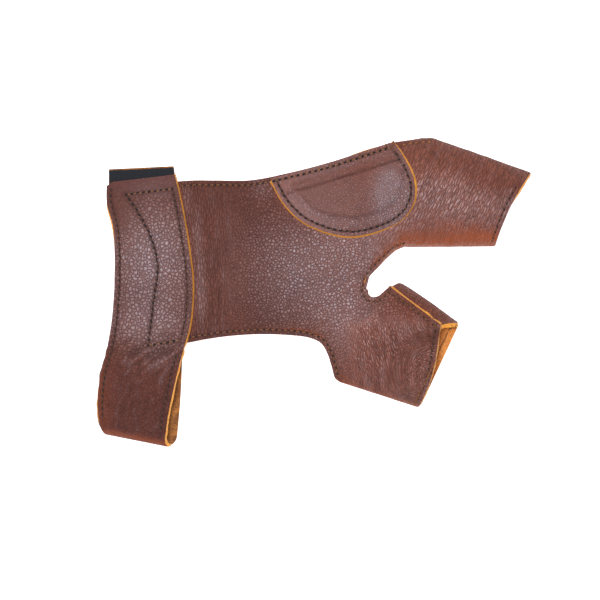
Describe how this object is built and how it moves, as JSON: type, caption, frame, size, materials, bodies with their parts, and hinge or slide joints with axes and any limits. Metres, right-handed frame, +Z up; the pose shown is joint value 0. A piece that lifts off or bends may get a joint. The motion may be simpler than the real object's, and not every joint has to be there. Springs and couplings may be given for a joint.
{
  "type": "archery glove",
  "caption": "Leather bow-hand glove lying flat: back-of-hand panel with index and thumb sleeves, knuckle patch and wide wrist strap.",
  "frame": {"origin": "centre of the glove's outline, on the surface it lies on", "axes": "+X from the wrist strap to the fingertips, +Y from the thumb to the index finger, +Z up from the surface through the back of the hand"},
  "size_m": [0.1906, 0.1362, 0.0159],
  "materials": {
    "leather": "brown full-grain leather with a soft sheen and orange-brown cut edges",
    "stiffener": "plain undyed leather, hidden under the patch",
    "tape": "matt black hook-and-loop tape"
  },
  "bodies": {
    "root": {"hand_panel": "leather", "knuckle_patch": "leather", "knuckle_stiffener": "stiffener", "wrist_strap": "leather", "hook_tape": "tape", "loop_tape": "tape"}
  },
  "joints": []
}
